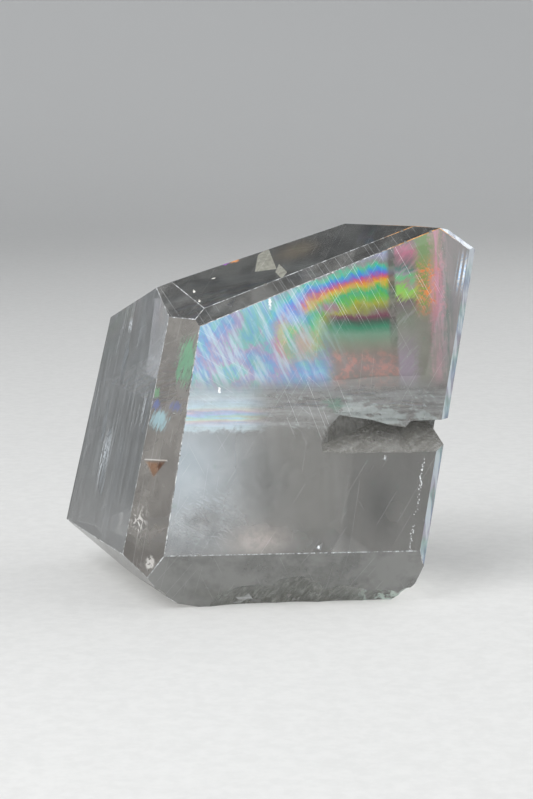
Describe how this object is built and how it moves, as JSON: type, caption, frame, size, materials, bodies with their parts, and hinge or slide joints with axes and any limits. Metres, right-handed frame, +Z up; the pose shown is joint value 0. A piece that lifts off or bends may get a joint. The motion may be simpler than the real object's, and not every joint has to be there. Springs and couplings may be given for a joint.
{
  "type": "calcite rhomb specimen",
  "caption": "Clear polished calcite rhomb with ground bevels, a sloping top, a broken wedge at one side and a chipped foot.",
  "frame": {"origin": "centre of the bounding box in plan, at the height of the resting face", "axes": "+Z up, away from the resting face; the polished front face looks towards -Y; +X runs along the front face's lower edge towards the broken side"},
  "size_m": [0.0814, 0.0662, 0.0734],
  "materials": {
    "calcite": "polished"
  },
  "bodies": {
    "root": {"calcite_rhomb": "calcite"}
  },
  "joints": []
}
